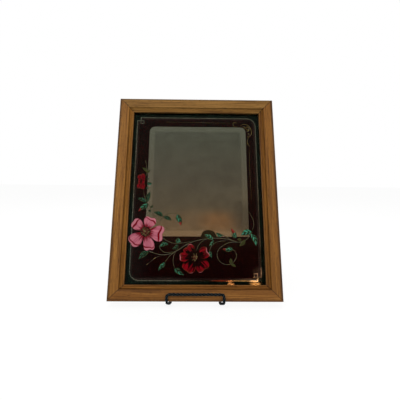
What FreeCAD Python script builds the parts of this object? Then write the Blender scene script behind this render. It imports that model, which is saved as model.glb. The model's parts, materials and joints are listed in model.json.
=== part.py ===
import FreeCAD, Part
import math
import os
from FreeCAD import Vector

os.makedirs("parts", exist_ok=True)

# An oak framed mirror with a printed rose border, leaning on a folding easel of bent bar.
# Millimetres and degrees. Each piece is drawn with the mirror standing upright, its bottom edge
# at height zero and its back at depth zero, then leaned back and set down on the table.
# Depth counts towards the viewer, so a depth d lies at -d along Y.

# Overall sizes
frame_width = 266.7
frame_height = 342.9
frame_depth = 17.5
lean_angle = 20.0
clearance = 0.3
overrun = 5.0
smallest_run = 0.001

# Frame moulding, outer edge towards the glass
rail_width = 24.8
outer_round = 3.6
crown_rise = 0.3
groove_width = 2.0
groove_depth = 2.0
shoulder_drop = 1.1
cove_width = 3.3
cove_sag = 0.7
bead_radius = 1.25
sight_lip = 2.6
rabbet_width = 5.8
back_recess = 0.9
back_round = 2.0

# Glass and what lies behind it
glass_thickness = 3.0
glass_play = 0.75
glass_seat = 0.05
film_thickness = 0.1
film_gap = 0.1
card_thickness = 2.2
board_thickness = 3.0

# Print
border_side = 11.0
border_end = 12.1
line_thickness = 1.5
line_corner_radius = 15.0
key_inset = 6.0
key_size = 5.2
field_left = 22.1
field_right = 17.3
field_bottom = 69.4
field_top = 17.1
window_corner_radius = 9.5
film_split = 0.05

# Roses and leaves, placed as shares of the line's half width and half height from its centre
large_rose_radius = 27.0
small_rose_radius = 22.0
rose_bud_length = 27.0
rose_bud_width = 13.0
petal_count = 5
petal_radius_share = 0.42
petal_reach_share = 0.58
heart_radius_share = 0.45
large_rose_height_share = -0.45
large_rose_overhang = 3.15
small_rose_shares = (-0.015, -0.75)
rose_bud_shares = (-0.88, 0.15)
leaf_width_share = 0.36
leaf_shares = [
    (-0.78, -0.11, -0.73, 0.02),
    (-0.79, -0.11, -0.94, -0.06),
    (-0.76, -0.13, -0.91, -0.22),
    (-0.52, -0.27, -0.66, -0.23),
    (-0.51, -0.28, -0.39, -0.32),
    (-0.29, -0.25, -0.23, -0.38),
    (-0.43, -0.60, -0.54, -0.63),
    (-0.30, -0.58, -0.26, -0.52),
    (-0.67, -0.68, -0.84, -0.76),
    (-0.47, -0.81, -0.56, -0.89),
    (-0.32, -0.87, -0.17, -0.94),
    (0.27, -0.55, 0.13, -0.49),
    (0.28, -0.56, 0.21, -0.62),
    (0.33, -0.46, 0.45, -0.49),
    (0.63, -0.53, 0.56, -0.42),
    (0.88, -0.45, 0.71, -0.49),
    (0.87, -0.47, 0.94, -0.61),
    (0.57, -0.66, 0.43, -0.65),
]
stem_width = 1.3
stem_shares = [
    (-0.74, -0.68, -0.30, -0.66, 0.12, -0.53),
    (0.12, -0.53, 0.46, -0.52, 0.88, -0.46),
    (0.90, -0.42, 0.91, -0.30, 0.84, -0.20),
]
curl_radius = 14.8
curl_shares = (0.48, -0.71)

# Fixings in the frame
nail_leg = 5.5
nail_thickness = 0.7
nail_height = 7.0
point_half_length = 5.5
point_half_width = 4.0
point_thickness = 0.5
point_spread_share = 0.28
hanger_height = 240.0
strap_width = 10.0
strap_length = 22.0
strap_thickness = 0.8
strap_corner = 3.5
knuckle_wall = 0.8
ring_wire_radius = 1.0
ring_play = 0.06
ring_side_gap = 1.2
ring_side = 4.5
ring_corner = 1.8
screw_radius = 1.4
screw_length = 10.0
screw_head_radius = 2.9
screw_head_height = 1.3
screw_head_top_share = 0.55
screw_slot_width = 0.8
screw_slot_depth = 0.6
screw_fit = 0.1
screw_upper_drop = 6.5
screw_lower_margin = 4.5
pad_radius = 5.0
pad_thickness = 2.0

# Easel bar and its bends
bar_radius = 2.4
bend_radius = 3.8
lip_height = 10.0
lip_half_width = 43.0
heel_half_width = 38.5
arch_top = 190.0
arch_radius = 12.0
crossbar_height = 135.0
crossbar_radius = 2.0
crossbar_overhang = 2.7
weld_sink = 0.4
sleeve_play = 0.06
sleeve_wall = 1.24
sleeve_overhang = 0.6
foot_reach = 51.63
leg_top_half_width = 7.0
leg_foot_half_width = 20.0
stop_radius = 2.0
stop_overhang = 4.2
stop_sink = 0.2
foot_flat = 0.4

# Sizes that follow from those above
face_level = frame_depth - crown_rise
shoulder_level = face_level - shoulder_drop
bead_start = rail_width - 2 * bead_radius
groove_end = bead_start - cove_width
face_width = groove_end - groove_width
rabbet_edge = rail_width - rabbet_width
board_back = back_recess
card_back = board_back + board_thickness
field_back = card_back + card_thickness
ornament_back = field_back + film_thickness + film_gap
glass_back = ornament_back + film_thickness + film_gap
rabbet_depth = glass_back + glass_thickness
bead_level = rabbet_depth + sight_lip
glass_half_width = frame_width / 2 - rabbet_edge - glass_play
glass_half_height = frame_height / 2 - rabbet_edge - glass_play
glass_sag = glass_play - glass_seat
print_height = frame_height / 2 - glass_sag
line_half_width = glass_half_width - border_side
line_half_height = glass_half_height - border_end
window_left = field_left - line_half_width
window_right = line_half_width - field_right
window_bottom = field_bottom - line_half_height
window_top = line_half_height - field_top
upright_depth = -clearance - bar_radius
arm_height = -clearance - bar_radius
lip_depth = frame_depth + clearance + bar_radius
crossbar_depth = upright_depth - bar_radius - crossbar_radius + weld_sink
sleeve_bore = crossbar_radius + sleeve_play
sleeve_radius = sleeve_bore + sleeve_wall
sleeve_half_length = leg_top_half_width + bar_radius + sleeve_overhang
knuckle_bore = ring_wire_radius + ring_play
knuckle_radius = knuckle_bore + knuckle_wall
hanger_inset = (back_round + rabbet_edge) / 2
screw_drops = (screw_upper_drop, strap_length - screw_lower_margin)
ring_half_width = strap_width / 2 + ring_side_gap + ring_corner
x_axis = Vector(1, 0, 0)
y_axis = Vector(0, 1, 0)
z_axis = Vector(0, 0, 1)
no_move = Vector(0, 0, 0)
right_angle = 90.0
half_turn = 180.0
square_corners = 2


def spot(across, depth, height):
    return Vector(across, -depth, height)


def corner_arc(before, corner, after, radius):
    # Entry, middle and exit of the arc that rounds one corner of a route
    towards = (before - corner).normalize()
    away = (after - corner).normalize()
    half = towards.getAngle(away) / 2
    reach = radius / math.tan(half)
    inward = (towards + away).normalize()
    centre = corner + inward * (radius / math.sin(half))
    return corner + towards * reach, centre - inward * radius, corner + away * reach


def route(points, radii, closed=False):
    # Straight runs joined by tangent arcs, one radius for each point, none where it is zero
    count = len(points)
    stops = []
    for index, point in enumerate(points):
        at_end = not closed and index in (0, count - 1)
        if at_end or radii[index] == 0:
            stops.append((point, None, point))
        else:
            before = points[index - 1]
            after = points[(index + 1) % count]
            stops.append(corner_arc(before, point, after, radii[index]))
    edges = []
    last = count if closed else count - 1
    for index, stop in enumerate(stops):
        if stop[1] is not None:
            edges.append(Part.Arc(stop[0], stop[1], stop[2]).toShape())
        if index < last:
            following = stops[(index + 1) % count]
            if (following[0] - stop[2]).Length > smallest_run:
                edges.append(Part.LineSegment(stop[2], following[0]).toShape())
    return Part.Wire(edges)


def polygon(corners):
    return route(corners, [0] * len(corners), closed=True)


def bar_along(wire, start, direction, radius):
    section = Part.Wire([Part.Circle(start, direction, radius).toShape()])
    return wire.makePipeShell([section], True, False)


def block(across_low, across_high, depth_low, depth_high, height_low, height_high):
    size = (across_high - across_low, depth_high - depth_low, height_high - height_low)
    return Part.makeBox(size[0], size[1], size[2], spot(across_low, depth_high, height_low))


def sheet(wire, depth_low, thickness):
    # A flat outline drawn at depth zero, given its thickness and moved to its depth
    face = Part.Face(wire)
    face.translate(spot(0, depth_low, 0))
    return face.extrude(spot(0, thickness, 0))


def rectangle(low, high, radii=(0, 0, 0, 0)):
    corners = [
        spot(low[0], 0, low[1]),
        spot(high[0], 0, low[1]),
        spot(high[0], 0, high[1]),
        spot(low[0], 0, high[1]),
    ]
    return route(corners, radii, closed=True)


def mirrored(shape):
    return shape.mirror(no_move, x_axis)


# Oak moulding
def moulding_outline():
    # Seen from the rail's end, the outer edge of the frame at height zero
    def at(width, depth):
        return spot(0, depth, width)

    def line(start, end):
        return Part.LineSegment(start, end).toShape()

    def bow(start, middle, end):
        return Part.Arc(start, middle, end).toShape()

    diagonal = math.cos(math.pi / 4)
    back_eased = back_round * (1 - diagonal)
    front_eased = outer_round * (1 - diagonal)
    crown_middle = (outer_round + face_width) / 2
    cove_middle = (groove_end + bead_start) / 2
    cove_depth = (shoulder_level + bead_level) / 2 - cove_sag
    front_start = at(0, face_level - outer_round)
    front_end = at(outer_round, face_level)
    groove_start = at(face_width, face_level)
    groove_floor = at(face_width + groove_width / 2, face_level - groove_depth)
    shoulder = at(groove_end, shoulder_level)
    bead_foot = at(bead_start, bead_level)
    bead_top = at(rail_width - bead_radius, bead_level + bead_radius)
    sight_edge = at(rail_width, bead_level)
    lip_underside = at(rail_width, rabbet_depth)
    rabbet_corner = at(rabbet_edge, rabbet_depth)
    rabbet_mouth = at(rabbet_edge, 0)
    back_end = at(back_round, 0)
    back_start = at(0, back_round)
    return Part.Wire([
        line(back_start, front_start),
        bow(front_start, at(front_eased, face_level - front_eased), front_end),
        bow(front_end, at(crown_middle, frame_depth), groove_start),
        line(groove_start, groove_floor),
        line(groove_floor, shoulder),
        bow(shoulder, at(cove_middle, cove_depth), bead_foot),
        bow(bead_foot, bead_top, sight_edge),
        line(sight_edge, lip_underside),
        line(lip_underside, rabbet_corner),
        line(rabbet_corner, rabbet_mouth),
        line(rabbet_mouth, back_end),
        bow(back_end, at(back_eased, back_eased), back_start),
    ])


def mitred_rail(length):
    # A bottom rail, centred across, its ends cut at 45 degrees
    half = length / 2
    top = rail_width + overrun
    moulding = Part.Face(moulding_outline())
    moulding.translate(Vector(-half, 0, 0))
    stick = moulding.extrude(Vector(length, 0, 0))
    corners = [spot(-half, 0, 0), spot(half, 0, 0), spot(half - top, 0, top), spot(top - half, 0, top)]
    mitres = sheet(polygon(corners), -overrun, frame_depth + 2 * overrun)
    return stick.common(mitres)


def corner_nails():
    # One V shaped strip across each mitre, driven in from the back
    middle = rabbet_edge / 2
    shapes = []
    for side in (-1, 1):
        for end in (-1, 1):
            legs = []
            for turn in (-1, 1):
                leg = block(0, nail_leg, 0, nail_height, -nail_thickness / 2, nail_thickness / 2)
                leg.rotate(no_move, y_axis, turn * right_angle / 2)
                legs.append(leg)
            nail = legs[0].fuse(legs[1]).removeSplitter()
            aim = math.degrees(math.atan2(-end, -side))
            nail.rotate(no_move, y_axis, -aim)
            across = side * (frame_width / 2 - middle)
            height = frame_height / 2 + end * (frame_height / 2 - middle)
            nail.translate(spot(across, 0, height))
            shapes.append(nail)
    return shapes


def diamond_point(across, height):
    corners = [
        spot(across - point_half_length, 0, height),
        spot(across, 0, height - point_half_width),
        spot(across + point_half_length, 0, height),
        spot(across, 0, height + point_half_width),
    ]
    return sheet(polygon(corners), board_back - point_thickness, point_thickness)


def glazier_points():
    # Two diamonds on each side of the rabbet, half in the wood and half over the back panel
    shapes = []
    middle = frame_height / 2
    for side in (-1, 1):
        for step in (-1, 1):
            across = side * (frame_width / 2 - rabbet_edge)
            shapes.append(diamond_point(across, middle + step * point_spread_share * frame_height))
            flat = diamond_point(0, 0)
            flat.rotate(no_move, y_axis, right_angle)
            height = middle + side * (frame_height / 2 - rabbet_edge)
            flat.translate(spot(step * point_spread_share * frame_width, 0, height))
            shapes.append(flat)
    return shapes


def screw(across, height):
    head_depth = -strap_thickness
    seat = spot(across, head_depth, height)
    shank = Part.makeCylinder(screw_radius, screw_length, seat, -y_axis)
    head_top = screw_head_radius * screw_head_top_share
    head = Part.makeCone(screw_head_radius, head_top, screw_head_height, seat, y_axis)
    head_end = head_depth - screw_head_height
    reach = screw_head_radius
    half_slot = screw_slot_width / 2
    slot = block(-reach, reach, head_end, head_end + screw_slot_depth, -half_slot, half_slot)
    slot.translate(spot(across, 0, height))
    return shank.fuse(head).cut(slot)


def screw_hole(across, height):
    start = spot(across, -overrun, height)
    return Part.makeCylinder(screw_radius + screw_fit, screw_length + overrun, start, -y_axis)


def hanger_places():
    across = frame_width / 2 - hanger_inset
    return {"left": -across, "right": across}


def hanger_strap(across):
    # A plate whose top end is rolled into the knuckle that the ring hangs in
    half = strap_width / 2
    low = hanger_height - strap_length
    rounds = (strap_corner, strap_corner, 0, 0)
    outline = rectangle((across - half, low), (across + half, hanger_height), rounds)
    plate = sheet(outline, -strap_thickness, strap_thickness)
    centre = spot(across - half, -knuckle_radius, hanger_height)
    knuckle = Part.makeCylinder(knuckle_radius, strap_width, centre, x_axis)
    bore = Part.makeCylinder(knuckle_bore, strap_width + 2 * overrun, centre - x_axis * overrun, x_axis)
    strap = plate.fuse(knuckle).removeSplitter().cut(bore)
    for drop in screw_drops:
        strap = strap.cut(screw_hole(across, hanger_height - drop))
    return strap


def ring(centre):
    # A D shaped wire ring that hangs straight down from its flat side
    top = centre
    side_end = centre + Vector(ring_half_width, 0, -ring_side)
    low = centre + Vector(0, 0, -ring_side - ring_half_width)
    diagonal = math.cos(math.pi / 4)
    bow_middle = centre + Vector(ring_half_width * diagonal, 0, -ring_side - ring_half_width * diagonal)
    corner = centre + Vector(ring_half_width, 0, 0)
    upper = route([top, corner, side_end], (0, ring_corner, 0))
    bow = Part.Arc(side_end, bow_middle, low).toShape()
    half_ring = bar_along(Part.Wire(upper.Edges + [bow]), top, x_axis, ring_wire_radius)
    other = half_ring.mirror(centre, x_axis)
    return half_ring.fuse(other).removeSplitter()


def pads():
    across = frame_width / 2 - hanger_inset
    return [
        Part.makeCylinder(pad_radius, pad_thickness, spot(side * across, 0, hanger_inset), y_axis)
        for side in (-1, 1)
    ]


# Print on the back of the glass
def print_spot(shares):
    return spot(shares[0] * line_half_width, 0, print_height + shares[1] * line_half_height)


def printed_film(wire, depth_low):
    return sheet(wire, depth_low, film_thickness)


def line_outline():
    # Rounded at the top right and bottom left, stepped in at the other two, where the keys stand
    def at(across, height):
        return spot(across, 0, print_height + height)

    right = line_half_width
    top = line_half_height
    inner_right = right - key_inset
    inner_top = top - key_inset
    points = [
        at(-right, -top), at(inner_right, -top), at(inner_right, -inner_top), at(right, -inner_top),
        at(right, top), at(-inner_right, top), at(-inner_right, inner_top), at(-right, inner_top),
    ]
    radii = (line_corner_radius, 0, 0, 0, line_corner_radius, 0, 0, 0)
    return points, radii


def window_outline(margin=0):
    low = (window_left - margin, print_height + window_bottom - margin)
    high = (window_right + margin, print_height + window_top + margin)
    radius = window_corner_radius + margin
    return rectangle(low, high, (0, 0, radius, radius))


def silver_line():
    points, radii = line_outline()
    half = line_thickness / 2
    middle = route(points, radii, closed=True)
    outer = middle.makeOffset2D(half, square_corners)
    inner = middle.makeOffset2D(-half, square_corners)
    line = printed_film(outer, ornament_back).cut(printed_film(inner, ornament_back))
    loops = line
    for sign in (-1, 1):
        # The square loop of one key, inside the step of the line
        near = line_half_width - key_inset
        far = near - key_size
        near_top = line_half_height - key_inset
        far_top = near_top - key_size
        low = (min(sign * near, sign * far), print_height - max(sign * near_top, sign * far_top))
        high = (max(sign * near, sign * far), print_height - min(sign * near_top, sign * far_top))
        outside = rectangle((low[0] - half, low[1] - half), (high[0] + half, high[1] + half))
        inside = rectangle((low[0] + half, low[1] + half), (high[0] - half, high[1] - half))
        square = printed_film(outside, ornament_back).cut(printed_film(inside, ornament_back))
        loops = loops.fuse(square)
    return loops.removeSplitter()


def large_rose_spot():
    # Where its outermost petal reaches past the silver line
    petal_side_share = petal_reach_share * math.sin(2 * math.pi / petal_count) + petal_radius_share
    inset = large_rose_radius * petal_side_share - large_rose_overhang
    height = print_height + large_rose_height_share * line_half_height
    return spot(inset - line_half_width, 0, height)


def rose(centre, radius):
    # Round petals about a round heart
    heart = Part.Wire([Part.Circle(centre, y_axis, radius * heart_radius_share).toShape()])
    flower = printed_film(heart, ornament_back)
    for index in range(petal_count):
        turn = 2 * math.pi * index / petal_count
        offset = Vector(math.sin(turn), 0, math.cos(turn)) * (radius * petal_reach_share)
        edge = Part.Circle(centre + offset, y_axis, radius * petal_radius_share).toShape()
        flower = flower.fuse(printed_film(Part.Wire([edge]), ornament_back))
    return flower.removeSplitter()


def leaf(base, tip, width):
    # Two bows that meet in a point at the leaf's base and at its tip
    middle = (base + tip) * 0.5
    aside = (tip - base).cross(y_axis).normalize() * (width / 2)
    bows = [Part.Arc(base, middle + aside, tip).toShape(), Part.Arc(tip, middle - aside, base).toShape()]
    return printed_film(Part.Wire(bows), ornament_back)


def stem(start, middle, end):
    # A ribbon between two arcs about one centre
    bow = Part.Arc(start, middle, end)
    centre = bow.toShape().Curve.Center
    half = stem_width / 2

    def shifted(point, distance):
        return point + (point - centre).normalize() * distance

    outer = Part.Arc(shifted(start, half), shifted(middle, half), shifted(end, half))
    inner = Part.Arc(shifted(end, -half), shifted(middle, -half), shifted(start, -half))
    sides = [
        Part.LineSegment(shifted(end, half), shifted(end, -half)).toShape(),
        Part.LineSegment(shifted(start, -half), shifted(start, half)).toShape(),
    ]
    outline = Part.Wire([outer.toShape(), sides[0], inner.toShape(), sides[1]])
    return printed_film(outline, ornament_back)


def curl():
    centre = print_spot(curl_shares)
    rims = []
    for side in (-1, 1):
        rim = Part.Circle(centre, y_axis, curl_radius + side * stem_width / 2)
        rims.append(printed_film(Part.Wire([rim.toShape()]), ornament_back))
    return rims[1].cut(rims[0])


def flowers():
    low = print_spot(rose_bud_shares) - z_axis * (rose_bud_length / 2)
    bud = leaf(low, low + z_axis * rose_bud_length, rose_bud_width)
    large = rose(large_rose_spot(), large_rose_radius)
    small = rose(print_spot(small_rose_shares), small_rose_radius)
    return [large, small, bud]


def leaves(roses, line):
    shapes = [curl()]
    for base_across, base_height, tip_across, tip_height in leaf_shares:
        base = print_spot((base_across, base_height))
        tip = print_spot((tip_across, tip_height))
        shapes.append(leaf(base, tip, (tip - base).Length * leaf_width_share))
    for shares in stem_shares:
        shapes.append(stem(print_spot(shares[0:2]), print_spot(shares[2:4]), print_spot(shares[4:6])))
    whole = shapes[0].multiFuse(shapes[1:])
    return whole.cut(roses + [line])


# Easel of bent bar
def upright_slope():
    # Angle of an upright from the middle line: it leaves the heel and touches the arch's circle
    rise = arch_top - arch_radius - arm_height
    reach = math.hypot(heel_half_width, rise)
    return math.atan2(heel_half_width, rise) - math.asin(arch_radius / reach)


def upright_across(height):
    return heel_half_width - (height - arm_height) * math.tan(upright_slope())


def heel_top():
    # Where the heel's bend ends on the upright
    before = spot(upright_across(crossbar_height), upright_depth, crossbar_height)
    heel = spot(heel_half_width, upright_depth, arm_height)
    foot = spot(lip_half_width, lip_depth, arm_height)
    return corner_arc(before, heel, foot, bend_radius)[0]


def easel_ledge():
    # Heel, arm, foot, riser and lip, then the same again on the other side, in one bent bar
    right = [
        heel_top(),
        spot(heel_half_width, upright_depth, arm_height),
        spot(lip_half_width, lip_depth, arm_height),
        spot(lip_half_width, lip_depth, lip_height),
    ]
    lip_middle = spot(0, lip_depth, lip_height)
    half_route = route(right + [lip_middle], (0, bend_radius, bend_radius, bend_radius, 0))
    down = (right[1] - right[0]).normalize()
    half_bar = bar_along(half_route, right[0], down, bar_radius)
    return half_bar.fuse(mirrored(half_bar)).removeSplitter()


def easel_back():
    slope = upright_slope()
    centre_height = arch_top - arch_radius
    start = heel_top()
    def on_arch(turn):
        rise = centre_height + arch_radius * math.sin(turn)
        return spot(arch_radius * math.cos(turn), upright_depth, rise)

    touch = on_arch(slope)
    middle = on_arch((slope + math.pi / 2) / 2)
    top = on_arch(math.pi / 2)
    wire = Part.Wire([Part.LineSegment(start, touch).toShape(), Part.Arc(touch, middle, top).toShape()])
    half_bar = bar_along(wire, start, (touch - start).normalize(), bar_radius)
    return half_bar.fuse(mirrored(half_bar)).removeSplitter()


def on_pivot(radius, half_length):
    end = spot(-half_length, crossbar_depth, crossbar_height)
    return Part.makeCylinder(radius, 2 * half_length, end, x_axis)


def past_uprights(overhang):
    # Half the length of a bar that lies across both uprights
    return upright_across(crossbar_height) + overhang


def crossbar():
    return on_pivot(crossbar_radius, past_uprights(crossbar_overhang))


def stop_bar():
    # Lies along the top of the sleeve, and its ends meet the backs of the uprights
    depth = upright_depth - bar_radius - clearance - stop_radius
    reach = sleeve_radius + stop_radius - stop_sink
    height = crossbar_height + math.sqrt(reach ** 2 - (depth - crossbar_depth) ** 2)
    half_length = past_uprights(stop_overhang)
    end = spot(-half_length, depth, height)
    bar = Part.makeCylinder(stop_radius, 2 * half_length, end, x_axis)
    return bar.cut(on_pivot(sleeve_radius, sleeve_half_length))


def rear_leg(pivot, foot_height):
    # A hairpin hung from the sleeve, its foot level with the heels
    top = pivot + x_axis * leg_top_half_width
    middle = pivot + Vector(0, foot_reach, foot_height - pivot.z)
    corner = middle + x_axis * leg_foot_half_width
    half_route = route([top, corner, middle], (0, bend_radius, 0))
    half_bar = bar_along(half_route, top, (corner - top).normalize(), bar_radius)
    return half_bar.fuse(mirrored(half_bar)).removeSplitter()


def leaned(shape):
    turned = shape.copy()
    turned.rotate(no_move, x_axis, -lean_angle)
    return turned


# Upright pieces of the mirror
pieces = {}
bottom_rail = mitred_rail(frame_width)
side_rail = mitred_rail(frame_height)
top_rail = bottom_rail.copy()
top_rail.rotate(spot(0, 0, frame_height / 2), y_axis, half_turn)
left_rail = side_rail.copy()
left_rail.rotate(no_move, y_axis, right_angle)
left_rail.translate(spot(-frame_width / 2, 0, frame_height / 2))
right_rail = mirrored(left_rail)
rails = {"top": top_rail, "bottom": bottom_rail, "left": left_rail, "right": right_rail}

nails = corner_nails()
points = glazier_points()
holes = []
screws = []
for across in hanger_places().values():
    for drop in screw_drops:
        holes.append(screw_hole(across, hanger_height - drop))
        screws.append(screw(across, hanger_height - drop))
for name, rail in rails.items():
    pieces["frame_rail_" + name] = rail.cut(nails + points + holes)
pieces["corner_nails"] = Part.makeCompound(nails)
pieces["glazier_points"] = Part.makeCompound(points)
pieces["hanger_screws"] = Part.makeCompound(screws)
for name, across in hanger_places().items():
    pieces["hanger_strap_" + name] = hanger_strap(across)
pieces["bumper_pads"] = Part.makeCompound(pads())

glass_low = (-glass_half_width, print_height - glass_half_height)
glass_high = (glass_half_width, print_height + glass_half_height)
glass_outline = rectangle(glass_low, glass_high)
line_route = route(line_outline()[0], line_outline()[1], closed=True)
pieces["mirror_glass"] = sheet(glass_outline, glass_back, glass_thickness)
inside_line = printed_film(line_route, field_back)
shrunk_line = printed_film(line_route.makeOffset2D(-film_split, square_corners), field_back)
pieces["green_border_print"] = printed_film(glass_outline, field_back).cut(inside_line)
pieces["maroon_field_print"] = shrunk_line.cut(printed_film(window_outline(film_split), field_back))
pieces["silvering"] = printed_film(window_outline(), field_back)
rose_shapes = flowers()
pieces["flower_print"] = Part.makeCompound(rose_shapes)
pieces["silver_line"] = silver_line().cut(rose_shapes)
pieces["leaf_print"] = leaves(rose_shapes, pieces["silver_line"])
pieces["backing_card"] = sheet(glass_outline, card_back, card_thickness)
pieces["hardboard_back"] = sheet(glass_outline, board_back, board_thickness)

# Upright pieces of the easel
pieces["easel_back"] = easel_back()
pieces["easel_ledge"] = easel_ledge()
pieces["easel_crossbar"] = crossbar().cut(pieces["easel_back"])
sleeve_hole = on_pivot(sleeve_bore, sleeve_half_length + overrun)
pieces["leg_sleeve"] = on_pivot(sleeve_radius, sleeve_half_length).cut(sleeve_hole)
pieces["leg_stop_bar"] = stop_bar()

# Lean everything back, and sink the heels by the flat that is ground on them
for name in list(pieces):
    pieces[name] = leaned(pieces[name])
lift = Vector(0, 0, -foot_flat - pieces["easel_ledge"].optimalBoundingBox(False).ZMin)
for shape in pieces.values():
    shape.translate(lift)

# Pieces that hang or stand by the world's own vertical
lean_turn = FreeCAD.Rotation(x_axis, -lean_angle)
pivot = lean_turn.multVec(spot(0, crossbar_depth, crossbar_height)) + lift
foot_height = bar_radius - foot_flat
sleeve_core = leaned(on_pivot(sleeve_radius, sleeve_half_length + overrun))
sleeve_core.translate(lift)
leg = rear_leg(pivot, foot_height).cut(sleeve_core)
ring_pivots = {}
for name, across in hanger_places().items():
    ring_pivots[name] = lean_turn.multVec(spot(across, -knuckle_radius, hanger_height)) + lift
    pieces["hanger_ring_" + name] = ring(ring_pivots[name])

# Grind the heels and the foot flat where they meet the table
ground_corner = Vector(-frame_width / 2, -frame_height / 2, -overrun)
ground = Part.makeBox(frame_width, frame_height, overrun, ground_corner)
pieces["easel_ledge"] = pieces["easel_ledge"].cut(ground)
pieces["easel_leg"] = leg.cut(ground)

# Centre the whole over the origin, front to back
outermost = ("easel_ledge", "easel_leg", "frame_rail_top", "frame_rail_bottom")
extent = Part.makeCompound([pieces[name] for name in outermost]).optimalBoundingBox(False)
centring = Vector(0, -(extent.YMin + extent.YMax) / 2, 0)
for name, shape in pieces.items():
    shape.translate(centring)
    shape.exportStep("parts/" + name + ".step")
print("pieces", len(pieces))
leg_drop = pivot.z - foot_height
print("leg length", math.hypot(foot_reach, leg_drop))
print("leg tilt from the vertical, degrees", math.degrees(math.atan2(foot_reach, leg_drop)))
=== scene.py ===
import functools
import json
import math
import bmesh
import bpy
import numpy as np
from mathutils import Matrix, Vector


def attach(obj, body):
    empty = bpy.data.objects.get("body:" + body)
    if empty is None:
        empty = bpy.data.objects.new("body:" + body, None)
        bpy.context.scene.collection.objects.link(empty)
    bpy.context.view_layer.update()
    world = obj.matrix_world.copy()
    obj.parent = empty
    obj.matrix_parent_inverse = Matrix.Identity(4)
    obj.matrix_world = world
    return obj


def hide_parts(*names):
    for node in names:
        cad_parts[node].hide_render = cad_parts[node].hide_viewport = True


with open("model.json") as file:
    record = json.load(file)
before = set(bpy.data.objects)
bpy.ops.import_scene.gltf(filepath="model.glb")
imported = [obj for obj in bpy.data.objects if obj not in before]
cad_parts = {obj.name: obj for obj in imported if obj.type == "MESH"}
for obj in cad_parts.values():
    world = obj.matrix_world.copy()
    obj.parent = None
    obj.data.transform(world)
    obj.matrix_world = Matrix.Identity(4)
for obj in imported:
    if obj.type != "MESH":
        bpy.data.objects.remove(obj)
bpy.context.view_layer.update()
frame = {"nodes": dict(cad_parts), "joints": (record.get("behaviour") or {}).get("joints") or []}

# An oak framed mirror with a printed rose border, on a folding easel of twisted bar.
# Flat work is drawn in millimetres from the middle of the frame, across and up, then leaned back.
mm = 0.001
print("loaded", len(frame["nodes"]), "nodes")


def colour(hexText):
    # sRGB hex to the linear value that a socket takes
    parts = [int(hexText[start:start + 2], 16) / 255 for start in (1, 3, 5)]
    linear = [part / 12.92 if part <= 0.04045 else ((part + 0.055) / 1.055) ** 2.4 for part in parts]
    return (*linear, 1.0)


def addNode(tree, family, kind, inputs=(), stops=(), **settings):
    # One node with its settings, its input values and its links. A short kind gets the tree's family,
    # a list fills the first sockets in their order, and a hex value becomes its colour.
    node = tree.nodes.new(kind if "Node" in kind else family + kind)
    for setting, value in settings.items():
        setattr(node, setting, value)
    for key, value in inputs.items() if isinstance(inputs, dict) else enumerate(inputs):
        if isinstance(value, bpy.types.Node):
            value = next(output for output in value.outputs if output.enabled)
        if isinstance(value, str) and value.startswith("#"):
            value = colour(value)
        if isinstance(value, bpy.types.NodeSocket):
            tree.links.new(value, node.inputs[key])
        else:
            node.inputs[key].default_value = value
    for index, (position, shade) in enumerate(stops):
        ramp = node.color_ramp.elements
        stop = ramp[index] if index < 2 else ramp.new(position)
        stop.position = position
        stop.color = colour(shade) if isinstance(shade, str) else (shade, shade, shade, 1)
    return node


def startFinish(name):
    # An empty material, and addNode bound to its tree
    material = bpy.data.materials.new(name)
    material.use_nodes = True
    material.node_tree.nodes.clear()
    return material, functools.partial(addNode, material.node_tree, "ShaderNode")


def endFinish(add, sockets):
    # Nearly every finish ends in one Principled shader
    add("OutputMaterial", [add("BsdfPrincipled", sockets)])


def dress(material, *nodeNames):
    # Puts a finish on CAD nodes that keep their shape
    for nodeName in nodeNames:
        data = frame["nodes"][nodeName].data
        data.materials.clear()
        data.materials.append(material)


def addObject(name, data):
    thing = bpy.data.objects.new(name, data)
    bpy.context.scene.collection.objects.link(thing)
    return thing


# The frame leans back, and everything in it is placed by its own across, up and depth
joints = {joint["name"]: joint for joint in frame["joints"]}
liftAxis = Vector(joints["mirror_lift"]["axis"])
leanAngle = math.atan2(liftAxis.y, liftAxis.z)
leanTurn = Matrix.Rotation(-leanAngle, 4, "X")
railNames = ["frame_rail_left", "frame_rail_right", "frame_rail_top", "frame_rail_bottom"]
uprightPoints = np.array([
    leanTurn.inverted() @ vertex.co for name in railNames for vertex in frame["nodes"][name].data.vertices
])
backLevel = float(uprightPoints[:, 1].max())
frameMiddle = float(uprightPoints[:, 2].min() + uprightPoints[:, 2].max()) / 2
halfWidth = float(uprightPoints[:, 0].max())
halfHeight = float(uprightPoints[:, 2].max()) - frameMiddle
leanPlace = leanTurn @ Matrix.Translation((0, backLevel, frameMiddle)) @ Matrix.Scale(mm, 4)
printPlace = leanPlace @ Matrix.Rotation(math.pi / 2, 4, "X")
tablePlace = Matrix.Scale(mm, 4)
print("lean", round(math.degrees(leanAngle), 2), "half size", round(halfWidth, 4), round(halfHeight, 4))


def leanedCoordinates(add):
    # Object coordinates turned upright and centred on the frame
    source = add("TexCoord").outputs["Object"]
    return add("Mapping", {
        "Vector": source,
        "Rotation": (leanAngle, 0, 0),
        "Location": (0, -backLevel, -frameMiddle),
    })


def insetsFrom(add, place, middle, half):
    # How far a point lies inside the sides and inside the ends of an upright rectangle
    insets = []
    for axis, centre, reach in zip(("X", "Z"), middle, half):
        offCentre = add("Math", [place.outputs[axis], centre * mm], operation="SUBTRACT")
        distance = add("Math", [offCentre], operation="ABSOLUTE")
        insets.append(add("Math", [reach * mm, distance], operation="SUBTRACT"))
    return insets


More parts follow.
